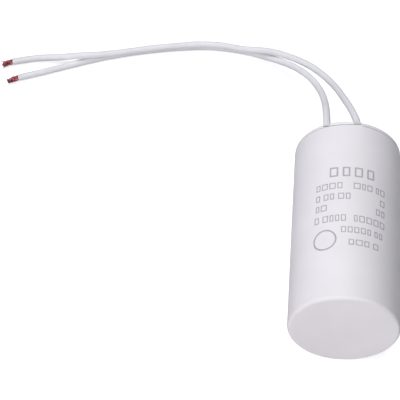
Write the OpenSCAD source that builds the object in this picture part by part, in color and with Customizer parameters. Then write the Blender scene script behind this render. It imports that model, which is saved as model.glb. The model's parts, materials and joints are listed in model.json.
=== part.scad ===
// Motor run capacitor: a film roll potted in a plastic can, with two flying leads.
// It lies on its side on the ground, z = 0, with the can's axis along Y. The closed
// end faces -Y, and the origin is on the ground below the middle of the can, from its
// closed end to the tips of the resin beads round the leads.

/* [Can] */
// Outside diameter of the can
case_d = 35; // [32:0.5:45]
// Length of the can from its closed end to its rim
case_l = 68.4; // [66:0.2:90]
// Thickness of the can's side wall
case_wall = 1.5; // [1:0.1:1.8]
// Thickness of the can's closed end
case_floor = 1.8; // [1:0.1:3]
// Radius of the outer edge of the closed end
case_edge_r = 1.1; // [0.3:0.1:1.2]
// Radius of the fillet inside the closed end
case_fillet_r = 1; // [0.4:0.1:1.5]
// Width of the groove between the can's rim and the cover
groove_w = 0.4; // [0.2:0.1:0.8]
// Depth of that groove
groove_depth = 0.5; // [0.2:0.1:0.7]

/* [Cover] */
// Thickness of the cover's disc
cover_t = 1.6; // [1.2:0.1:3]
// How far the cover's edge stands back from the outside of the can
cover_setback = 0.1; // [0.05:0.05:0.5]
// Radius of the cover's outer edge
cover_edge_r = 1; // [0.4:0.1:1.2]
// Length of the skirt that plugs into the can
skirt_l = 2.5; // [1.5:0.1:4]
// Thickness of the skirt
skirt_wall = 1.2; // [0.8:0.1:1.6]
// Clearance between the skirt and the can's wall
skirt_gap = 0.1; // [0.05:0.05:0.3]
// Clearance round each lead in its notch
notch_gap = 0.15; // [0.1:0.05:0.5]
// How far the resin in a notch covers its lead
notch_cover = 0.2; // [0.1:0.1:0.6]
// Diameter of the resin bead round each lead, on the cover's outer face
bead_d = 4; // [3.4:0.1:4.4]
// Height of that bead
bead_h = 1.2; // [0.6:0.1:1.6]

/* [Film roll] */
// Resin between the film roll and the can's wall
roll_gap = 1; // [0.4:0.1:3]
// Length of the film roll
roll_l = 48; // [40:0.5:49]
// Thickness of the sprayed metal on each end of the roll
spray_t = 0.6; // [0.4:0.1:1]
// Resin between the can's closed end and the roll
roll_stand = 4; // [3:0.2:5]
// Outside diameter of the tube that the film is wound on
core_d = 6; // [5:0.2:8]
// Bore of the tube that the film is wound on
core_bore = 4; // [3:0.1:4.4]

/* [Leads] */
// Outside diameter of a lead's insulation
lead_d = 2.4; // [2:0.1:2.6]
// Diameter of the stranded conductor inside it
conductor_d = 1; // [0.8:0.1:1.2]
// Space between the conductor and the insulation's bore
bore_gap = 0.05; // [0.02:0.01:0.1]
// Distance between a lead and the can's wall, where it leaves
lead_wall_gap = 0.4; // [0.2:0.1:1]
// Direction from the axis at which lead A leaves, from the top towards +X
lead_a_turn = -32; // [-50:1:-25]
// Direction from the axis at which lead B leaves, from the top towards +X
lead_b_turn = 9; // [0:1:30]

/* [Bare ends] */
// Length of the bare strands at a lead's free end
strip_l = 4.4; // [3:0.2:8]
// Number of strands that twist round the middle one
strand_n = 6; // [5:1:7]
// Diameter of a strand
strand_d = 0.6; // [0.4:0.05:0.7]
// Length of one whole twist of the strands
strand_pitch = 9; // [6:0.5:16]

/* [Solder joints] */
// Diameter of a solder joint
solder_d = 5.2; // [4:0.2:6]
// Height of a solder joint
solder_h = 1.6; // [1.3:0.1:2]
// Distance of a solder joint from the axis
solder_r = 7; // [6:0.5:8]

/* [Hidden] */
$fn = 96;

// Heights and radii in the can's own upright frame, z = 0 at the closed end's face
total_l = case_l + cover_t;
middle_h = (total_l + bead_h) / 2;
axis_h = case_d / 2;
case_bore_r = case_d / 2 - case_wall;
roll_r = case_bore_r - roll_gap;
closed_face = case_floor + roll_stand;
open_face = closed_face + roll_l + 2 * spray_t;
lead_r = case_bore_r - lead_wall_gap - lead_d / 2;
conductor_lay = conductor_d / 2;
notch_w = lead_d + 2 * notch_gap;
// Height over which a lead bends aside between the roll and its notch
bend_h = 6;
// Thickness of a resin bead's thin edge against its lead
bead_rim = 0.25;
// How far a lead runs straight on past its bead before it bends
past_bead = 0.8;
exit_run = bead_h + past_bead;
// How far a cutting body reaches past what it cuts
cut = 0.5;

// Lead tubes
tube_sides = 8;
route_steps = 2;

// A direction that no lead runs along, from which its rings are turned
tube_ref = [1, 1, 0];

// Bare strands: rings along them, points on each strand's outline, how thick they are
// at both ends as a share, and where they are thickest (below 1: nearer the insulation)
bundle_steps = 10;
lobe_steps = 6;
bundle_neck = 0.45;
bundle_skew = 0.8;

// Routes of the leads outside the can, to where the insulation ends. Here y is counted
// from the cover's outer face. The leads drop to the ground behind the can and lie on
// it, B partly on A.
lead_a_route = [
    [-7.8, 8, 28], [-7.95, 14.5, 24], [-8.4, 22, 18.9], [-9.8, 31.5, 13],
    [-13.3, 40.5, 9], [-19, 48, 5.8], [-26, 53.5, 3], [-34, 57.5, 1.4],
    [-42, 59, 1.3], [-50, 59.5, 1.3], [-58, 58.8, 1.3], [-67, 57.3, 1.3],
    [-77, 55, 1.3], [-87, 52, 1.3], [-97, 48.2, 1.3], [-107, 44, 1.3],
    [-117, 40, 1.3]
];
lead_b_route = [
    [0.6, 8, 30], [-0.8, 14.5, 26.2], [-2.25, 22, 21], [-4.5, 31, 15.4],
    [-8.5, 40, 10.8], [-14, 47.5, 7.7], [-21.5, 53, 5.7], [-29, 56, 4.6],
    [-37, 56.8, 3.9], [-45, 58.2, 3.8], [-53, 58.2, 3.8], [-61, 57, 3.8],
    [-70, 55.2, 3.8], [-80, 52.7, 3.8], [-89, 50.7, 3.8], [-96, 50, 3.6],
    [-103, 50.3, 2], [-112, 49.7, 1.3], [-120, 47.5, 1.3]
];

// Where a lead runs parallel to the axis: its x and y in the upright frame
function lead_place(turn, r = lead_r) = [r * sin(turn), -r * cos(turn)];
function at_height(p, z) = [p.x, p.y, z];

// A point of the upright frame, once the can lies on its side
function laid(p) = [p.x, p.z - middle_h, axis_h - p.y];

function unit(v) = v / norm(v);

// Lead A inside the can: along the closed end's contact, up the core, out to its notch
lead_a_bare = [
    [solder_r, 0, closed_face - conductor_lay],
    [0, 0, closed_face - conductor_lay],
    [0, 0, closed_face + lead_d]
];
lead_a_inside = [
    [0, 0, closed_face + lead_d],
    [0, 0, open_face + lead_d / 2],
    at_height(lead_place(lead_a_turn), open_face + lead_d / 2 + bend_h),
    at_height(lead_place(lead_a_turn), case_l)
];

// Lead B inside the can: along the open end's contact, then out to its notch
lead_b_bare = [
    at_height(lead_place(lead_b_turn, solder_r), open_face + conductor_lay),
    at_height(lead_place(lead_b_turn, solder_r + solder_d / 2), open_face + conductor_lay),
    at_height(lead_place(lead_b_turn), open_face + bend_h)
];
lead_b_inside = [
    at_height(lead_place(lead_b_turn), open_face + bend_h),
    at_height(lead_place(lead_b_turn), case_l)
];

// Catmull-Rom curve through the points of a route
function spline_point(a, b, c, d, t) =
    (2 * b + (c - a) * t + (2 * a - 5 * b + 4 * c - d) * t * t
        + (3 * b - a - 3 * c + d) * t * t * t) / 2;

function spline(p, steps) =
    let (last = len(p) - 1, q = concat([2 * p[0] - p[1]], p, [2 * p[last] - p[last - 1]]))
    concat(
        [for (i = [1 : last]) for (k = [0 : steps - 1])
            spline_point(q[i - 1], q[i], q[i + 1], q[i + 2], k / steps)],
        [p[last]]
    );

// Whole path of a lead's insulation: straight runs inside the can and out of the
// cover, then the free route
function lead_path(inside, route) =
    let (
        place = inside[len(inside) - 1],
        mouth = laid(at_height(place, total_l + exit_run)),
        free = [for (p = route) p + [0, total_l - middle_h, 0]]
    )
    concat([for (p = inside) laid(p)], spline(concat([mouth], free), route_steps));

function conductor_path(bare, inside, route) =
    concat([laid(bare[0]), laid(bare[1])], lead_path(inside, route));

function tangent(path, i) =
    unit(path[min(i + 1, len(path) - 1)] - path[max(i - 1, 0)]);

// One ring of a tube: points round the path, square to it
function ring(path, i, r) =
    let (t = tangent(path, i), side = unit(cross(tube_ref, t)), up = cross(side, t))
    [for (k = [0 : tube_sides - 1])
        let (a = 360 * k / tube_sides)
        path[i] + r * (cos(a) * side + sin(a) * up)];

// Faces of the walls between rings of `sides` points, from vertex `from` on
function wall_faces(rings, sides, from, outward) =
    [for (i = [0 : rings - 2]) for (k = [0 : sides - 1])
        let (
            a = from + i * sides + k,
            b = from + i * sides + (k + 1) % sides,
            c = b + sides,
            d = a + sides
        )
        each outward ? [[a, b, c], [a, c, d]] : [[c, b, a], [d, c, a]]];

// Solid through a row of rings with equal numbers of points
module loft(rings) {
    sides = len(rings[0]);
    last = (len(rings) - 1) * sides;
    points = [for (ring = rings) each ring];
    near_end = [for (k = [0 : sides - 1]) sides - 1 - k];
    far_end = [for (k = [0 : sides - 1]) last + k];
    polyhedron(points, concat([near_end], wall_faces(len(rings), sides, 0, true), [far_end]));
}

// Solid rod swept along a path
module rod(path, r) {
    loft([for (i = [0 : len(path) - 1]) ring(path, i, r)]);
}

// Hollow tube swept along a path
module tube(path, r, bore_r) {
    rings = len(path);
    inner = rings * tube_sides;
    last = (rings - 1) * tube_sides;
    points = concat(
        [for (i = [0 : rings - 1]) each ring(path, i, r)],
        [for (i = [0 : rings - 1]) each ring(path, i, bore_r)]
    );
    ends = [for (k = [0 : tube_sides - 1])
        let (n = (k + 1) % tube_sides)
        each [
            [n, k, inner + k, inner + n],
            [last + k, last + n, inner + last + n, inner + last + k]
        ]];
    walls = concat(
        wall_faces(rings, tube_sides, 0, true),
        wall_faces(rings, tube_sides, inner, false)
    );
    polyhedron(points, concat(walls, ends));
}

// Outline of a ring of round strands laid side by side: its radius at angle a
function bundle_r(a) =
    let (
        lay_r = max(strand_d, strand_d / 2 / sin(180 / strand_n)),
        off = a - round(a * strand_n / 360) * 360 / strand_n
    )
    lay_r * cos(off) + sqrt(max(0, pow(strand_d / 2, 2) - pow(lay_r * sin(off), 2)));

// One ring of the bare strands, s of the way along them. The bundle is drawn in
// where it leaves the insulation, swells past it and draws in again at its tip.
function bundle_ring(path, s) =
    let (
        end = path[len(path) - 1],
        t = unit(end - path[len(path) - 2]),
        side = unit(cross(tube_ref, t)),
        up = cross(side, t),
        twist = 360 * s * strip_l / strand_pitch,
        swell = bundle_neck + (1 - bundle_neck) * pow(sin(180 * pow(max(s, 0), bundle_skew)), 0.5)
    )
    [for (k = [0 : strand_n * lobe_steps - 1])
        let (a = 360 * k / (strand_n * lobe_steps), r = swell * bundle_r(a))
        end + t * s * strip_l + r * (cos(a + twist) * side + sin(a + twist) * up)];

// Bare strands at a lead's free end, twisted round one another
module strands(path) {
    loft([for (k = [-1 : bundle_steps]) bundle_ring(path, k / bundle_steps)]);
}

// True round channel along straight runs, as a lead leaves it in the resin. At each
// bend the runs reach past one another by their radius, so the corner is clear too.
module channel(points, r) {
    for (i = [0 : len(points) - 2]) {
        run = points[i + 1] - points[i];
        before = i > 0 ? r : 0;
        after = i < len(points) - 2 ? r : 0;
        translate(points[i] - before * unit(run))
            rotate([0, acos(run.z / norm(run)), atan2(run.y, run.x)])
                cylinder(h = norm(run) + before + after, r = r);
    }
}

module lay_down() {
    translate([0, -middle_h, axis_h])
        rotate([-90, 0, 0])
            children();
}

// Round bar from height 0 to h, with its lower edge rounded to radius e
module soft_edged_bar(r, h, e) {
    rotate_extrude() {
        translate([0, e])
            square([r, h - e]);
        square([r - e, h]);
        intersection() {
            translate([r - e, e])
                circle(e);
            translate([r - e, 0])
                square(e);
        }
    }
}

// The space inside the can, up to its rim
module can_inside(extra = 0) {
    translate([0, 0, case_floor])
        soft_edged_bar(case_bore_r, case_l - case_floor + extra, case_fillet_r);
}

// Notch in the cover, from a lead's place upwards when the can lies. Both notches
// run the same way, as the slots of a moulded cover do.
module lead_notch(turn, reach = case_d / 2) {
    height = skirt_l + cover_t + 2 * cut;
    translate(at_height(lead_place(turn), case_l - skirt_l - cut)) {
        cylinder(h = height, d = notch_w);
        translate([-notch_w / 2, -reach, 0])
            cube([notch_w, reach, height]);
    }
}

module cover_disc() {
    translate([0, 0, total_l])
        mirror([0, 0, 1])
            soft_edged_bar(case_d / 2 - cover_setback, cover_t, cover_edge_r);
}

// Resin that fills a notch round its lead
module notch_resin(turn) {
    intersection() {
        cover_disc();
        lead_notch(turn, lead_d / 2 + notch_cover);
    }
}

// Pipe from height z on
module pipe(z, h, outer_r, bore_r) {
    translate([0, 0, z])
        difference() {
            cylinder(h = h, r = outer_r);
            translate([0, 0, -cut])
                cylinder(h = h + 2 * cut, r = bore_r);
        }
}

// Ring of the cover that plugs into the can, with the leads' notches
module skirt() {
    outer_r = case_bore_r - skirt_gap;
    difference() {
        pipe(case_l - skirt_l, skirt_l, outer_r, outer_r - skirt_wall);
        lead_notch(lead_a_turn);
        lead_notch(lead_b_turn);
    }
}

// Solder dome on a contact, base at z = 0
module solder_dome() {
    ball_r = (pow(solder_d / 2, 2) + pow(solder_h, 2)) / (2 * solder_h);
    intersection() {
        translate([0, 0, solder_h - ball_r])
            sphere(ball_r);
        cylinder(h = solder_h + cut, d = solder_d + cut);
    }
}

module lead_a_dome() {
    translate([solder_r, 0, closed_face])
        mirror([0, 0, 1])
            solder_dome();
}

module lead_b_dome() {
    translate(at_height(lead_place(lead_b_turn, solder_r), open_face))
        solder_dome();
}

module case() {
    color([0.93, 0.92, 0.94])
        lay_down()
            difference() {
                soft_edged_bar(case_d / 2, case_l, case_edge_r);
                can_inside(cut);
                pipe(case_l - groove_w, groove_w + cut, case_d / 2 + cut, case_d / 2 - groove_depth);
            }
}

module end_cover() {
    color([0.9, 0.9, 0.91])
        lay_down() {
            difference() {
                cover_disc();
                lead_notch(lead_a_turn);
                lead_notch(lead_b_turn);
            }
            skirt();
        }
}

// Resin bead round a lead where it leaves the cover
module resin_bead(turn) {
    translate(at_height(lead_place(turn), total_l))
        cylinder(h = bead_h, d1 = bead_d, d2 = lead_d + 2 * bead_rim);
}

// Resin fills the can round the roll and inside the core, up to the cover. It also
// fills the notches in the cover and stands in a bead round each lead.
module potting_resin() {
    beyond = [0, 0, cover_t + bead_h + cut];
    color([0.82, 0.8, 0.74])
        lay_down()
            difference() {
                union() {
                    can_inside();
                    notch_resin(lead_a_turn);
                    notch_resin(lead_b_turn);
                    resin_bead(lead_a_turn);
                    resin_bead(lead_b_turn);
                }
                pipe(closed_face, open_face - closed_face, roll_r, core_bore / 2);
                skirt();
                lead_a_dome();
                lead_b_dome();
                channel(lead_a_bare, conductor_d / 2);
                channel(concat(lead_a_inside, [lead_a_inside[3] + beyond]), lead_d / 2);
                channel(lead_b_bare, conductor_d / 2);
                channel(concat(lead_b_inside, [lead_b_inside[1] + beyond]), lead_d / 2);
            }
}

module film_winding() {
    color([0.78, 0.8, 0.84])
        lay_down()
            pipe(closed_face + spray_t, roll_l, roll_r, core_d / 2);
}

module winding_core() {
    color([0.85, 0.83, 0.76])
        lay_down()
            pipe(closed_face, open_face - closed_face, core_d / 2, core_bore / 2);
}

// Sprayed metal contact on one end of the roll
module spray(z) {
    color([0.6, 0.61, 0.63])
        lay_down()
            pipe(z, spray_t, roll_r, core_d / 2);
}

module closed_end_spray() {
    spray(closed_face);
}

module open_end_spray() {
    spray(open_face - spray_t);
}

module lead_a_solder() {
    color([0.75, 0.75, 0.77])
        lay_down()
            difference() {
                lead_a_dome();
                channel([lead_a_bare[0], lead_a_bare[1]], conductor_d / 2);
            }
}

module lead_b_solder() {
    color([0.75, 0.75, 0.77])
        lay_down()
            difference() {
                lead_b_dome();
                channel(lead_b_bare, conductor_d / 2);
            }
}

module insulation(inside, route) {
    color([0.88, 0.88, 0.9])
        tube(lead_path(inside, route), lead_d / 2, conductor_d / 2 + bore_gap);
}

module conductor(bare, inside, route) {
    path = conductor_path(bare, inside, route);
    color([0.6, 0.2, 0.18]) {
        rod(path, conductor_d / 2);
        strands(path);
    }
}

module lead_a_insulation() {
    insulation(lead_a_inside, lead_a_route);
}

module lead_b_insulation() {
    insulation(lead_b_inside, lead_b_route);
}

module lead_a_conductor() {
    conductor(lead_a_bare, lead_a_inside, lead_a_route);
}

module lead_b_conductor() {
    conductor(lead_b_bare, lead_b_inside, lead_b_route);
}

case();
end_cover();
potting_resin();
film_winding();
winding_core();
closed_end_spray();
open_end_spray();
lead_a_solder();
lead_b_solder();
lead_a_insulation();
lead_a_conductor();
lead_b_insulation();
lead_b_conductor();
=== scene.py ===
"""Looks of the motor run capacitor: camera, leads, finishes, print, stage and light."""
import json
import math
import random

import bpy
from mathutils import Matrix, Vector


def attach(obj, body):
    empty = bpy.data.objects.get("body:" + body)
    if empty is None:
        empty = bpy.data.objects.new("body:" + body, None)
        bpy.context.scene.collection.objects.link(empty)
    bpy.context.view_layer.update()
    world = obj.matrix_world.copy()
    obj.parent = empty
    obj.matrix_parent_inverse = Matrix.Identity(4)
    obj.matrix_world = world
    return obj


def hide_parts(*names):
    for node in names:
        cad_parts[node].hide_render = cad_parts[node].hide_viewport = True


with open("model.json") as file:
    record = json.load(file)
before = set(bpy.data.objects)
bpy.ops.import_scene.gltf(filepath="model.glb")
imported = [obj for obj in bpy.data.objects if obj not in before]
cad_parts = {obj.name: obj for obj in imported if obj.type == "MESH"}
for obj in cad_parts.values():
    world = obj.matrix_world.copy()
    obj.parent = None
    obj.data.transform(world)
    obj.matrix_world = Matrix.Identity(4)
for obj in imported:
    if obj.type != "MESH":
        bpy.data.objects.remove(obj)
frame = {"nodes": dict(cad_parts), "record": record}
bpy.context.view_layer.update()
nodes = frame["nodes"]

# ---------------------------------------------------------------- sizes, as in the part's source
MM = 0.001
FULL_TURN = 2 * math.pi
CAN_R = 17.5 * MM
AXIS_H = 17.5 * MM
CAN_MIDDLE_Y = -0.6 * MM
COVER_FACE_Y = CAN_MIDDLE_Y + 35 * MM
LEAD_R = 1.2 * MM
LEAD_PLACE_R = 14.4 * MM
LEAD_A_TURN = -32
LEAD_B_TURN = 9
INSIDE_RUN = 3 * MM
EXIT_RUN = 2 * MM
STRIP_L = 4.4 * MM

# In millimetres, with y counted from the cover's outer face
LEAD_A_ROUTE = [
    (-7.8, 8, 28), (-7.95, 14.5, 24), (-8.4, 22, 18.9), (-9.8, 31.5, 13),
    (-13.3, 40.5, 9), (-19, 48, 5.8), (-26, 53.5, 3), (-34, 57.5, 1.4),
    (-42, 59, 1.3), (-50, 59.5, 1.3), (-58, 58.8, 1.3), (-67, 57.3, 1.3),
    (-77, 55, 1.3), (-87, 52, 1.3), (-97, 48.2, 1.3), (-107, 44, 1.3),
    (-117, 40, 1.3),
]
LEAD_B_ROUTE = [
    (0.6, 8, 30), (-0.8, 14.5, 26.2), (-2.25, 22, 21), (-4.5, 31, 15.4),
    (-8.5, 40, 10.8), (-14, 47.5, 7.7), (-21.5, 53, 5.7), (-29, 56, 4.6),
    (-37, 56.8, 3.9), (-45, 58.2, 3.8), (-53, 58.2, 3.8), (-61, 57, 3.8),
    (-70, 55.2, 3.8), (-80, 52.7, 3.8), (-89, 50.7, 3.8), (-96, 50, 3.6),
    (-103, 50.3, 2), (-112, 49.7, 1.3), (-120, 47.5, 1.3),
]


def lead_mouth(turn):
    """Where a lead leaves the cover's face: turn is counted from the top towards +X."""
    a = math.radians(turn)
    height = AXIS_H + LEAD_PLACE_R * math.cos(a)
    return Vector((LEAD_PLACE_R * math.sin(a), COVER_FACE_Y, height))


# ---------------------------------------------------------------- camera
CAMERA_PLACE = (-0.02410, -0.32915, 0.46612)
CAMERA_LOOKS = Vector((-0.0418, 0.60455, -0.79547))
CAMERA_UP = Vector((-0.05487, 0.79358, 0.60599))
SENSOR_MM = 36
LENS_MM = 155.6
CLIP_NEAR = 0.01
CLIP_FAR = 20


def add_camera():
    data = bpy.data.cameras.new("camera")
    cam = bpy.data.objects.new("camera", data)
    bpy.context.scene.collection.objects.link(cam)
    data.sensor_width = SENSOR_MM
    data.lens = LENS_MM
    data.clip_start = CLIP_NEAR
    data.clip_end = CLIP_FAR
    back = -CAMERA_LOOKS.normalized()
    right = CAMERA_UP.cross(back).normalized()
    up = back.cross(right)
    turn = Matrix((right, up, back)).transposed().to_4x4()
    cam.matrix_world = Matrix.Translation(CAMERA_PLACE) @ turn
    bpy.context.scene.camera = cam


# ---------------------------------------------------------------- lines
def spline_point(a, b, c, d, t):
    """Point of a Catmull-Rom curve, t of the way from b to c."""
    return 0.5 * (
        2 * b + (c - a) * t + (2 * a - 5 * b + 4 * c - d) * t * t
        + (3 * b - a - 3 * c + d) * t * t * t
    )


def smooth_line(points, steps):
    """Catmull-Rom curve through the points, with so many steps from one to the next."""
    p = [Vector(q) for q in points]
    q = [2 * p[0] - p[1]] + p + [2 * p[-1] - p[-2]]
    line = []
    for i in range(1, len(p)):
        for k in range(steps):
            line.append(spline_point(q[i - 1], q[i], q[i + 1], q[i + 2], k / steps))
    line.append(p[-1])
    return line


def line_length(line):
    return sum((b - a).length for a, b in zip(line, line[1:]))


def point_at(line, distance):
    """Point at a distance along a line."""
    left = distance
    for a, b in zip(line, line[1:]):
        step = (b - a).length
        if left <= step or b is line[-1]:
            return a + (b - a) * (left / step)
        left -= step


def even_line(line, pitch):
    """The line again, in equal steps of about one pitch."""
    total = line_length(line)
    count = max(2, round(total / pitch))
    return [point_at(line, total * i / count) for i in range(count + 1)]


def soften(line, passes):
    """Rounds what is left of a kink in an even line. Its ends stay."""
    for _ in range(passes):
        inner = [(a + 2 * b + c) / 4 for a, b, c in zip(line, line[1:], line[2:])]
        line = [line[0]] + inner + [line[-1]]
    return line


def carried_frames(line):
    """Point, direction, side and up along a line, turned as little as possible on the way."""
    frames = []
    side = None
    for i, p in enumerate(line):
        along = (line[min(i + 1, len(line) - 1)] - line[max(i - 1, 0)]).normalized()
        if side is None:
            side = along.cross(Vector((0, 0, 1))).normalized()
        side = (side - along * side.dot(along)).normalized()
        frames.append((p, along, side, side.cross(along).normalized()))
    return frames


# ---------------------------------------------------------------- meshes
def ring_points(at, radius, sides):
    """Ring of points round a frame's direction."""
    p, _, side, up = at
    angles = [FULL_TURN * k / sides for k in range(sides)]
    return [p + radius * (math.cos(a) * side + math.sin(a) * up) for a in angles]


def ring_faces(first, second, sides):
    """Faces between two rings, each given by the number of its first point."""
    return [
        (first + k, first + (k + 1) % sides, second + (k + 1) % sides, second + k)
        for k in range(sides)
    ]


def mesh_object(name, points, faces, smooth=True):
    mesh = bpy.data.meshes.new(name)
    mesh.from_pydata([tuple(p) for p in points], [], faces)
    mesh.validate()
    mesh.update()
    mesh.polygons.foreach_set("use_smooth", [smooth] * len(mesh.polygons))
    made = bpy.data.objects.new(name, mesh)
    bpy.context.scene.collection.objects.link(made)
    return made


def wrong_way(obj):
    """True if a closed mesh's faces point inwards."""
    volume = 0.0
    for face in obj.data.polygons:
        corner = [obj.data.vertices[v].co for v in face.vertices]
        for b, c in zip(corner[1:], corner[2:]):
            volume += corner[0].dot(b.cross(c))
    return volume < 0


def closed_object(name, points, faces, smooth=True):
    """Object of closed shells, with their faces pointing outwards."""
    made = mesh_object(name, points, faces, smooth)
    if wrong_way(made):
        made.data.flip_normals()
    return made


# ---------------------------------------------------------------- leads
TUBE_SIDES = 28
TUBE_PITCH = 1.0 * MM
ROUTE_STEPS = 12
SOFTEN_PASSES = 3
# Waves: height and rate. The ripples are shares of the radius, the tears are in millimetres.
RIPPLE_SLOW = (0.006, 31)
RIPPLE_FAST = (0.005, 73)
TEAR_WIDE = (0.05, 2)
TEAR_FINE = (0.03, 5)
# The cut end, from its edge to down in the bore: millimetres past the end, share of the radius
CUT_RINGS = [
    (0.05, 0.99), (0.13, 0.93), (0.15, 0.80), (0.10, 0.56), (-0.10, 0.46), (-1.5, 0.44),
]


def wave(kind, at, phase):
    """Height of a wave at some place, shifted by its phase."""
    height, rate = kind
    return height * math.sin(rate * at + phase)


def free_line(mouth, route):
    """Line of a lead outside the can: straight out of the cover, then along its route."""
    bend = mouth + Vector((0, EXIT_RUN, 0))
    places = [Vector((x, y, z)) * MM + Vector((0, COVER_FACE_Y, 0)) for x, y, z in route]
    return [mouth] + smooth_line([bend] + places, ROUTE_STEPS)


def tube_wall(frames, phases):
    """Points and faces of a lead's outer wall, which isn't quite even."""
    points = []
    faces = []
    for i, at in enumerate(frames):
        s = i / len(frames)
        ripple = 1 + wave(RIPPLE_SLOW, s, phases[0]) + wave(RIPPLE_FAST, s, phases[1])
        points += ring_points(at, LEAD_R * ripple, TUBE_SIDES)
    for i in range(len(frames) - 1):
        faces += ring_faces(i * TUBE_SIDES, (i + 1) * TUBE_SIDES, TUBE_SIDES)
    return points, faces


def add_cut_end(points, faces, at, phases):
    """Closes the wall's last ring: over a torn edge and a little way down the bore."""
    along = at[1]
    row = len(points) - TUBE_SIDES
    for depth, share in CUT_RINGS:
        here = len(points)
        for k, q in enumerate(ring_points(at, LEAD_R * share, TUBE_SIDES)):
            a = FULL_TURN * k / TUBE_SIDES
            tear = wave(TEAR_WIDE, a, phases[2]) + wave(TEAR_FINE, a, phases[0])
            height = depth + tear if depth > 0 else depth
            points.append(q + along * (height * MM))
        faces += ring_faces(row, here, TUBE_SIDES)
        row = here
    faces.append(tuple(row + k for k in reversed(range(TUBE_SIDES))))


def add_insulation(name, mouth, route, node):
    """Smooth hollow tube along a lead's route, cut off squarely but not cleanly."""
    start = mouth - Vector((0, INSIDE_RUN, 0))
    free = free_line(mouth, route)
    line = soften(even_line([start] + free, TUBE_PITCH), SOFTEN_PASSES)
    frames = carried_frames(line)
    rng = random.Random(name)
    phases = [rng.uniform(0, FULL_TURN) for _ in range(3)]
    points, faces = tube_wall(frames, phases)
    add_cut_end(points, faces, frames[-1], phases)
    faces.append(tuple(reversed(range(TUBE_SIDES))))
    lead = closed_object(name, points, faces)
    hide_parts(node)
    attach(lead, "root")
    return lead


# ---------------------------------------------------------------- bare strands
STRAND_COUNT = 32
STRAND_R = 0.145 * MM
STRAND_SIDES = 7
STRAND_STEPS = 18
STEPS_INSIDE = 3
STRAND_TURNS = 0.6
BORE_R = 0.42 * MM
BUNDLE_R = 1.03 * MM
# The strand that stands off: its length, and how far to the side and up, in millimetres at its
# root and how much more at its tip
STRAY_L = 0.95 * STRIP_L
STRAY_SIDE = (0.15, 0.6)
STRAY_UP = (0.3, 0.1)
# Radians from one strand to the next, which spreads them evenly over the bundle
GOLDEN_ANGLE = 2.39996
# Where along a strand each of these starts and, if it ends before the tip, how long it goes on
SWELL_START = -0.05
SWELL_SPAN = 0.22
DRAW_IN_START = 0.5
FRAY_START = 0.7
# How much thinner the bundle is at its tips, and how a strand wavers round it
DRAW_IN = 0.28
WAVER = (0.15, 5)
LEAN_POWER = 1.6
# How unlike the strands are: angle, width, and millimetres that a tip stands in or out
ANGLE_SPREAD = (-0.2, 0.2)
WIDTH_SPREAD = (0.85, 1.0)
FRAY_SPREAD = (-0.25, 0.3)


def beyond(s, start):
    """0 up to the start, rising to 1 at the tip."""
    return max(0.0, s - start) / (1 - start)


def bundle_radius(s, widest):
    """The bundle's radius, s of the way along it."""
    opening = min(1.0, max(0.0, s - SWELL_START) / SWELL_SPAN)
    swell = BORE_R + (widest - BORE_R) * (opening * opening * (3 - 2 * opening))
    return swell * (1 - DRAW_IN * beyond(s, DRAW_IN_START))


def strand_line(at_end, lean, reach, rng, index):
    """One strand: it leaves the bore, swells out with the others, twists and frays at its tip."""
    end, along, side, up = at_end
    layer = math.sqrt((index + 0.5) / STRAND_COUNT)
    start_turn = GOLDEN_ANGLE * index + rng.uniform(*ANGLE_SPREAD)
    length = STRIP_L * rng.uniform(*reach)
    widest = BUNDLE_R * rng.uniform(*WIDTH_SPREAD)
    fray = rng.uniform(*FRAY_SPREAD) * MM
    line = []
    for k in range(-STEPS_INSIDE, STRAND_STEPS + 1):
        s = k / STRAND_STEPS
        outside = max(s, 0)
        r = layer * bundle_radius(s, widest) + fray * beyond(s, FRAY_START)
        a = start_turn + FULL_TURN * STRAND_TURNS * outside + wave(WAVER, s, index)
        middle = end + along * (s * length) + lean * (outside ** LEAN_POWER)
        line.append(middle + r * (math.cos(a) * side + math.sin(a) * up))
    return line


def stray_line(at_end):
    """The one strand that stands off from the rest."""
    end, along, side, up = at_end
    line = []
    for k in range(STRAND_STEPS + 1):
        s = k / STRAND_STEPS
        aside = STRAY_SIDE[0] + STRAY_SIDE[1] * s * s
        above = STRAY_UP[0] + STRAY_UP[1] * s
        off = side * aside * MM + up * above * MM
        line.append(end + along * (s * STRAY_L) + off)
    return line


def add_thread(points, faces, line):
    """One strand, as a closed tube along its line."""
    frames = carried_frames(line)
    base = len(points)
    for at in frames:
        points += ring_points(at, STRAND_R, STRAND_SIDES)
    for i in range(len(frames) - 1):
        first = base + i * STRAND_SIDES
        faces += ring_faces(first, first + STRAND_SIDES, STRAND_SIDES)
    tip = base + (len(frames) - 1) * STRAND_SIDES
    faces.append(tuple(base + k for k in reversed(range(STRAND_SIDES))))
    faces.append(tuple(tip + k for k in range(STRAND_SIDES)))


def add_strands(name, mouth, route, node, lean, reach, stray=False):
    """A lead's bare end. Its tips bend over by lean, and reach is its shortest and its longest
    strand, as shares of the stripped length.
    """
    at_end = carried_frames(free_line(mouth, route))[-1]
    rng = random.Random(name)
    lines = [strand_line(at_end, lean, reach, rng, index) for index in range(STRAND_COUNT)]
    if stray:
        lines.append(stray_line(at_end))
    points = []
    faces = []
    for line in lines:
        add_thread(points, faces, line)
    bundle = closed_object(name, points, faces)
    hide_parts(node)
    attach(bundle, "root")
    return bundle


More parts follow.
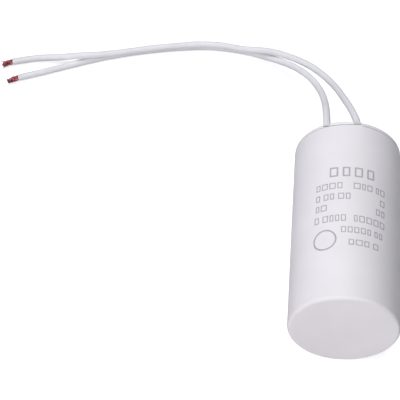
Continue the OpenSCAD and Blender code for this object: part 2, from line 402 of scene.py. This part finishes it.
# ---------------------------------------------------------------- print
# Rows of plain open boxes stand where the print is: the row's distance from the can's
# middle, its height, box width, gap, width of the ink line, and the arcs that it fills,
# in millimetres and degrees round the axis from the top towards +X.
PRINT_ROWS = [
    (13.7, 3.8, 2.2, 1.4, 0.55, [(-21.5, 28)]),
    (8.2, 2.4, 1.6, 0.5, 0.34, [(-36, -7.5), (4, 40)]),
    (4.0, 2.4, 1.6, 0.5, 0.34, [(-36, 1), (34, 40)]),
    (-0.1, 2.4, 1.6, 0.5, 0.34, [(-36, -23.5), (29, 40)]),
    (-4.6, 2.5, 1.6, 0.5, 0.34, [(-37, 0), (5, 40)]),
    (-9.1, 2.3, 1.5, 0.5, 0.34, [(-8, 37)]),
    (-13.8, 2.2, 1.5, 0.5, 0.34, [(0, 35)]),
]
PRINT_LIFT = 0.012 * MM
PRINT_SINK = 0.05 * MM
SIDE_STEPS = 4
CORNER_STEPS = 3
# Corner radii, as shares of the ink line's width
OUTER_CORNER = 0.45
INNER_CORNER = 0.15
# Narrowest and widest box, how often a gap is a wide one, and how wide, as shares
NARROWEST = 0.7
WIDEST = 1.5
WIDE_GAP_CHANCE = 0.15
WIDE_GAP = 2.5
# The ring that stands where the print has a mark
MARK_ALONG = -12.6 * MM
MARK_TURN = -25
MARK_R = 3.9 * MM
MARK_LINE = 0.55 * MM
MARK_SIDES = 48


def on_can(along, arc, radius):
    """Point on the can's side, along it from its middle and round it from the top towards +X."""
    a = arc / CAN_R
    return Vector((radius * math.sin(a), CAN_MIDDLE_Y + along, AXIS_H + radius * math.cos(a)))


def corner_arc(x, y, first, radius):
    """Quarter circle round a point, from the first angle on."""
    turns = [math.radians(first + 90 * k / CORNER_STEPS) for k in range(CORNER_STEPS + 1)]
    return [(x + radius * math.cos(a), y + radius * math.sin(a)) for a in turns]


def box_outline(w, h, corner):
    """Rectangle with rounded corners, as a ring of points round its middle."""
    x = w / 2 - corner
    y = h / 2 - corner
    middles = [(x, y, 0), (-x, y, 90), (-x, -y, 180), (x, -y, 270)]
    arcs = [corner_arc(*middle, corner) for middle in middles]
    ring = []
    for arc, following in zip(arcs, arcs[1:] + arcs[:1]):
        ring += arc
        start = arc[-1]
        stop = following[0]
        for k in range(1, SIDE_STEPS):
            share = k / SIDE_STEPS
            ring.append(tuple(p + (q - p) * share for p, q in zip(start, stop)))
    return ring


def circle_outline(radius):
    turns = [FULL_TURN * k / MARK_SIDES for k in range(MARK_SIDES)]
    return [(radius * math.cos(a), radius * math.sin(a)) for a in turns]


def add_loop(points, faces, along, arc, outer, inner):
    """Closed line of ink between two outlines, laid on the can's side."""
    sides = len(outer)
    base = len(points)
    for radius in (CAN_R + PRINT_LIFT, CAN_R - PRINT_SINK):
        for outline in (outer, inner):
            for u, v in outline:
                points.append(on_can(along + v, arc + u, radius))
    top_out, top_in, low_out, low_in = (base + sides * i for i in range(4))
    faces += ring_faces(top_out, top_in, sides)
    faces += ring_faces(low_out, top_out, sides)
    faces += ring_faces(top_in, low_in, sides)
    faces += ring_faces(low_in, low_out, sides)


def add_box(points, faces, along, arc, w, h, line):
    outer = box_outline(w, h, OUTER_CORNER * line)
    inner = box_outline(w - 2 * line, h - 2 * line, INNER_CORNER * line)
    add_loop(points, faces, along, arc, outer, inner)


def add_span(points, faces, rng, row, span):
    """Boxes side by side along one arc of a row."""
    along, h, w, gap, line = row
    arc, stop = (math.radians(turn) * CAN_R for turn in span)
    while arc + NARROWEST * w * MM <= stop:
        wide = min(w * MM * rng.uniform(NARROWEST, WIDEST), stop - arc)
        add_box(points, faces, along * MM, arc + wide / 2, wide, h * MM, line * MM)
        space = gap * MM * (WIDE_GAP if rng.random() < WIDE_GAP_CHANCE else 1)
        arc += wide + space


def add_print():
    rng = random.Random("print")
    points = []
    faces = []
    for *row, spans in PRINT_ROWS:
        for span in spans:
            add_span(points, faces, rng, row, span)
    middle = math.radians(MARK_TURN) * CAN_R
    ring = (circle_outline(MARK_R), circle_outline(MARK_R - MARK_LINE))
    add_loop(points, faces, MARK_ALONG, middle, *ring)
    made = closed_object("print_marks", points, faces, smooth=False)
    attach(made, "root")
    return made


# ---------------------------------------------------------------- materials
# The part of a noise's values that is used, for colour and for gloss
CLOUD_SPAN = (0.32, 0.68)
GLOSS_SPAN = (0.3, 0.7)
CLOUD_DETAIL = 4
FINE_DETAIL = 6


def srgb(r, g, b):
    """Linear colour from 0..255 values."""
    def one(v):
        v = v / 255
        return v / 12.92 if v <= 0.04045 else ((v + 0.055) / 1.055) ** 2.4
    return (one(r), one(g), one(b), 1)


def new_material(name):
    mat = bpy.data.materials.new(name)
    mat.use_nodes = True
    tree = mat.node_tree
    return mat, tree.nodes, tree.links, tree.nodes["Principled BSDF"]


def object_noise(mat_nodes, links, scale, detail, stretch=(1, 1, 1)):
    """Noise fixed to the object. Stretch below 1 draws it out along an axis."""
    where = mat_nodes.new("ShaderNodeTexCoord")
    place = mat_nodes.new("ShaderNodeMapping")
    place.inputs["Scale"].default_value = stretch
    noise = mat_nodes.new("ShaderNodeTexNoise")
    noise.inputs["Scale"].default_value = scale
    noise.inputs["Detail"].default_value = detail
    links.new(where.outputs["Object"], place.inputs["Vector"])
    links.new(place.outputs["Vector"], noise.inputs["Vector"])
    return noise.outputs["Fac"]


def ramp_between(mat_nodes, links, value, span, colours):
    """Colour from the first to the second as the value crosses the span."""
    ramp = mat_nodes.new("ShaderNodeValToRGB")
    for stop, position, colour in zip(ramp.color_ramp.elements, span, colours):
        stop.position = position
        stop.color = colour
    links.new(value, ramp.inputs["Fac"])
    return ramp.outputs["Color"]


def map_value(mat_nodes, links, value, span, result):
    """Value from the first result to the second as the value crosses the span."""
    remap = mat_nodes.new("ShaderNodeMapRange")
    remap.inputs["From Min"].default_value = span[0]
    remap.inputs["From Max"].default_value = span[1]
    remap.inputs["To Min"].default_value = result[0]
    remap.inputs["To Max"].default_value = result[1]
    links.new(value, remap.inputs["Value"])
    return remap.outputs["Result"]


def uneven_surface(mat_nodes, links, shader, fine, rough, bump):
    """Gloss and height that follow a fine noise. Bump is its strength and its depth."""
    gloss = map_value(mat_nodes, links, fine, GLOSS_SPAN, rough)
    links.new(gloss, shader.inputs["Roughness"])
    height = mat_nodes.new("ShaderNodeBump")
    height.inputs["Strength"].default_value = bump[0]
    height.inputs["Distance"].default_value = bump[1]
    links.new(fine, height.inputs["Height"])
    links.new(height.outputs["Normal"], shader.inputs["Normal"])


def finish_of(name, tones, rough, patch, grain, bump, stretch=(1, 1, 1), **constants):
    """Material with cloudy colour between two tones, uneven gloss and a fine surface."""
    mat, mat_nodes, links, shader = new_material(name)
    cloud = object_noise(mat_nodes, links, patch, CLOUD_DETAIL)
    fine = object_noise(mat_nodes, links, grain, FINE_DETAIL, stretch)
    colour = ramp_between(mat_nodes, links, cloud, CLOUD_SPAN, tones)
    links.new(colour, shader.inputs["Base Color"])
    uneven_surface(mat_nodes, links, shader, fine, rough, bump)
    for socket, value in constants.items():
        shader.inputs[socket.replace("_", " ")].default_value = value
    return mat


# The copper's blotches and its grain: more is finer
BLOTCH = 1500
BLOTCH_DETAIL = 3
BLOTCH_SPAN = (0.40, 0.62)
COPPER_TONES = (srgb(52, 15, 26), srgb(206, 112, 126))
COPPER_GRAIN = 5000
COPPER_ROUGH = (0.28, 0.45)
COPPER_BUMP = (0.25, 0.04 * MM)
COPPER_METALLIC = 0.6
# Darker tips and painted shade on the near and lower side of a bare end: how much each axis
# counts, the span of their sum over which the dark fades, and its share at both ends of that span
TIP_AND_SHADE_COPPER = srgb(40, 12, 22)
TIP_AND_SHADE_AXES = (0.8, 0.6, 0.4)
TIP_AND_SHADE_SPAN = (0.3, 0.9)
TIP_AND_SHADE_SHARE = (0.85, 0.0)


def darkened_tips_and_shade(mat_nodes, links, colour):
    """The colour, darker towards the tips of the strands, with painted shade on their near and
    lower side.
    """
    where = mat_nodes.new("ShaderNodeTexCoord")
    slope = mat_nodes.new("ShaderNodeVectorMath")
    slope.operation = "DOT_PRODUCT"
    slope.inputs[1].default_value = TIP_AND_SHADE_AXES
    links.new(where.outputs["Generated"], slope.inputs[0])
    shade = map_value(mat_nodes, links, slope.outputs["Value"], TIP_AND_SHADE_SPAN, TIP_AND_SHADE_SHARE)
    mix = mat_nodes.new("ShaderNodeMix")
    mix.data_type = "RGBA"
    mix.inputs["B"].default_value = TIP_AND_SHADE_COPPER
    links.new(shade, mix.inputs["Factor"])
    links.new(colour, mix.inputs["A"])
    return mix.outputs["Result"]


def make_copper():
    """Reddened copper, blotched from strand to strand."""
    mat, mat_nodes, links, shader = new_material("copper")
    blotch = object_noise(mat_nodes, links, BLOTCH, BLOTCH_DETAIL)
    fine = object_noise(mat_nodes, links, COPPER_GRAIN, FINE_DETAIL)
    colour = ramp_between(mat_nodes, links, blotch, BLOTCH_SPAN, COPPER_TONES)
    # Painted shade on the strands' near and lower side, and darker towards their tips
    links.new(darkened_tips_and_shade(mat_nodes, links, colour), shader.inputs["Base Color"])
    uneven_surface(mat_nodes, links, shader, fine, COPPER_ROUGH, COPPER_BUMP)
    shader.inputs["Metallic"].default_value = COPPER_METALLIC
    return mat


# Two tones, range of roughness, scale of the clouds and of the grain (more is finer), the bump's
# strength and depth, how the grain is drawn out, and what is the same all over the surface
FINISHES = {
    "case_plastic": dict(
        tones=(srgb(228, 226, 228), srgb(234, 232, 234)), rough=(0.48, 0.56),
        patch=55, grain=900, bump=(0.08, 0.05 * MM), stretch=(1, 0.12, 1),
        IOR=1.5, Specular_IOR_Level=0.2,
    ),
    "cover_plastic": dict(
        tones=(srgb(226, 226, 228), srgb(234, 234, 236)), rough=(0.38, 0.5),
        patch=120, grain=1400, bump=(0.12, 0.06 * MM), IOR=1.5,
    ),
    "resin": dict(
        tones=(srgb(222, 220, 218), srgb(234, 232, 229)), rough=(0.12, 0.25),
        patch=300, grain=700, bump=(0.15, 0.1 * MM), IOR=1.55,
    ),
    "film": dict(
        tones=(srgb(196, 200, 208), srgb(214, 217, 223)), rough=(0.2, 0.3),
        patch=80, grain=4000, bump=(0.1, 0.05 * MM), stretch=(1, 0.02, 1), Metallic=0.6,
    ),
    "core_plastic": dict(
        tones=(srgb(222, 216, 196), srgb(234, 229, 212)), rough=(0.4, 0.5),
        patch=200, grain=900, bump=(0.1, 0.05 * MM),
    ),
    "sprayed_zinc": dict(
        tones=(srgb(140, 142, 146), srgb(176, 178, 182)), rough=(0.55, 0.8),
        patch=900, grain=2600, bump=(0.8, 0.2 * MM), Metallic=0.8,
    ),
    "solder": dict(
        tones=(srgb(186, 187, 190), srgb(214, 215, 219)), rough=(0.15, 0.3),
        patch=500, grain=1200, bump=(0.2, 0.08 * MM), Metallic=1.0,
    ),
    "insulation": dict(
        tones=(srgb(223, 223, 225), srgb(230, 230, 232)), rough=(0.48, 0.56),
        patch=90, grain=1600, bump=(0.08, 0.04 * MM), IOR=1.5, Specular_IOR_Level=0.2,
        Subsurface_Weight=0.7, Subsurface_Radius=(1, 1, 1), Subsurface_Scale=0.8 * MM,
    ),
    "ink": dict(
        tones=(srgb(163, 161, 168), srgb(178, 176, 183)), rough=(0.45, 0.6),
        patch=700, grain=3000, bump=(0.1, 0.02 * MM),
    ),
}


def make_materials():
    """A material for each of the record's slots, and the print's ink."""
    made = {name: finish_of(name, **finish) for name, finish in FINISHES.items()}
    made["copper"] = make_copper()
    return made


def dress(obj, mat):
    obj.data.materials.clear()
    obj.data.materials.append(mat)


# ---------------------------------------------------------------- stage and light
WHITE = (1, 1, 1, 1)
FLOOR_HALF = 4.0
FLOOR_ROUGHNESS = 0.9
# The floor's colour as it lights the object, and as the camera sees it
FLOOR_PLAIN = (0.32, 0.32, 0.34, 1)
FLOOR_SHOWN = (0.95, 0.95, 0.95, 1)
# The camera's floor glows more where the lamps reach it less: from and to these distances
LIFT_FROM_TO = (0.2, 1.0)
LIFT_STRENGTH = (0.50, 1.0)
# The room's light, and how it changes along each axis
ROOM_COLOUR = (0.92, 0.97, 1.12, 1)
ROOM_LEVEL = 0.20
ROOM_SLOPE = (-0.12, -0.08, 0.0)
LAMP_DISTANCE = 0.8
# Name, direction from the can's middle, width and height, radiance, and colour
LAMPS = [
    ("softbox_behind", (-0.10, 0.45, 0.90), (0.6, 0.5), 3.95, (1.00, 0.99, 1.02)),
    ("softbox_front", (-0.30, -0.72, 0.62), (0.6, 0.5), 3.4, (1.03, 1.00, 0.98)),
    ("softbox_low", (-0.05, -1, 0.22), (0.6, 0.4), 1.75, (1.03, 0.98, 1.01)),
]


def show_background(mat_nodes, links, plain, to_camera, to_gloss):
    """The plain shader, but one for the camera's rays and one for those of gloss and glass."""
    path = mat_nodes.new("ShaderNodeLightPath")
    gloss_or_glass = mat_nodes.new("ShaderNodeMath")
    gloss_or_glass.operation = "MAXIMUM"
    links.new(path.outputs["Is Glossy Ray"], gloss_or_glass.inputs[0])
    links.new(path.outputs["Is Transmission Ray"], gloss_or_glass.inputs[1])
    seen = plain
    rays = (path.outputs["Is Camera Ray"], gloss_or_glass.outputs["Value"])
    for ray, shown in zip(rays, (to_camera, to_gloss)):
        mix = mat_nodes.new("ShaderNodeMixShader")
        links.new(ray, mix.inputs["Fac"])
        links.new(seen, mix.inputs[1])
        links.new(shown, mix.inputs[2])
        seen = mix.outputs["Shader"]
    return seen


def floor_to_camera(mat_nodes, links):
    """White floor that keeps the object's shadow, and stays white far from the lamps."""
    shown = mat_nodes.new("ShaderNodeBsdfDiffuse")
    shown.inputs["Color"].default_value = FLOOR_SHOWN
    lift = mat_nodes.new("ShaderNodeEmission")
    lift.inputs["Color"].default_value = WHITE
    where = mat_nodes.new("ShaderNodeTexCoord")
    away = mat_nodes.new("ShaderNodeVectorMath")
    away.operation = "LENGTH"
    links.new(where.outputs["Object"], away.inputs[0])
    distance = away.outputs["Value"]
    strength = map_value(mat_nodes, links, distance, LIFT_FROM_TO, LIFT_STRENGTH)
    links.new(strength, lift.inputs["Strength"])
    both = mat_nodes.new("ShaderNodeAddShader")
    links.new(shown.outputs["BSDF"], both.inputs[0])
    links.new(lift.outputs["Emission"], both.inputs[1])
    return both.outputs["Shader"]


def add_floor():
    mat, mat_nodes, links, shader = new_material("floor")
    shader.inputs["Base Color"].default_value = FLOOR_PLAIN
    shader.inputs["Roughness"].default_value = FLOOR_ROUGHNESS
    white = mat_nodes.new("ShaderNodeEmission")
    white.inputs["Color"].default_value = WHITE
    seen = show_background(
        mat_nodes, links, shader.outputs["BSDF"], floor_to_camera(mat_nodes, links),
        white.outputs["Emission"],
    )
    links.new(seen, mat_nodes["Material Output"].inputs["Surface"])
    half = FLOOR_HALF
    corners = [(-half, -half, 0), (half, -half, 0), (half, half, 0), (-half, half, 0)]
    floor = mesh_object("floor", corners, [(0, 1, 2, 3)], smooth=False)
    dress(floor, mat)


def room_strength(mat_nodes, links):
    """The room's light is stronger on the left and in front."""
    where = mat_nodes.new("ShaderNodeTexCoord")
    slope = mat_nodes.new("ShaderNodeVectorMath")
    slope.operation = "DOT_PRODUCT"
    slope.inputs[1].default_value = ROOM_SLOPE
    level = mat_nodes.new("ShaderNodeMath")
    level.inputs[1].default_value = ROOM_LEVEL
    links.new(where.outputs["Generated"], slope.inputs[0])
    links.new(slope.outputs["Value"], level.inputs[0])
    return level.outputs["Value"]


def add_world():
    """White as a background, and a dim room as light."""
    world = bpy.data.worlds.new("world")
    bpy.context.scene.world = world
    world.use_nodes = True
    world_nodes = world.node_tree.nodes
    links = world.node_tree.links
    room = world_nodes["Background"]
    room.inputs["Color"].default_value = ROOM_COLOUR
    links.new(room_strength(world_nodes, links), room.inputs["Strength"])
    white = world_nodes.new("ShaderNodeBackground")
    white.inputs["Color"].default_value = WHITE
    shown = white.outputs["Background"]
    seen = show_background(world_nodes, links, room.outputs["Background"], shown, shown)
    links.new(seen, world_nodes["World Output"].inputs["Surface"])


def add_lamp(name, direction, size, radiance, colour):
    """Soft box that faces the can's middle. Its power follows from its radiance and size."""
    data = bpy.data.lights.new(name, "AREA")
    data.shape = "RECTANGLE"
    data.size = size[0]
    data.size_y = size[1]
    data.energy = math.pi * radiance * size[0] * size[1]
    data.color = colour
    lamp = bpy.data.objects.new(name, data)
    bpy.context.scene.collection.objects.link(lamp)
    away = Vector(direction).normalized()
    lamp.location = Vector((0, CAN_MIDDLE_Y, AXIS_H)) + away * LAMP_DISTANCE
    lamp.rotation_mode = "QUATERNION"
    lamp.rotation_quaternion = away.to_track_quat("Z", "Y")


# ---------------------------------------------------------------- the scene
add_camera()
add_world()
add_floor()
for lamp in LAMPS:
    add_lamp(*lamp)
materials = make_materials()
for subpart in frame["record"]["subparts"]:
    dress(nodes[subpart["node"]], materials[subpart["material_slot"]])

mouth_a = lead_mouth(LEAD_A_TURN)
mouth_b = lead_mouth(LEAD_B_TURN)
strands_a = add_strands(
    "lead_a_strands", mouth_a, LEAD_A_ROUTE, "lead_a_conductor",
    lean=Vector((0, -0.6, 0)) * MM, reach=(0.74, 0.95),
)
strands_b = add_strands(
    "lead_b_strands", mouth_b, LEAD_B_ROUTE, "lead_b_conductor",
    lean=Vector((0, -0.9, 0)) * MM, reach=(0.68, 0.88), stray=True,
)
lead_a = add_insulation("lead_a", mouth_a, LEAD_A_ROUTE, "lead_a_insulation")
lead_b = add_insulation("lead_b", mouth_b, LEAD_B_ROUTE, "lead_b_insulation")
for strands in (strands_a, strands_b):
    dress(strands, materials["copper"])
for lead in (lead_a, lead_b):
    dress(lead, materials["insulation"])
print_marks = add_print()
dress(print_marks, materials["ink"])

bpy.context.scene.view_settings.view_transform = "Standard"
bpy.context.view_layer.update()
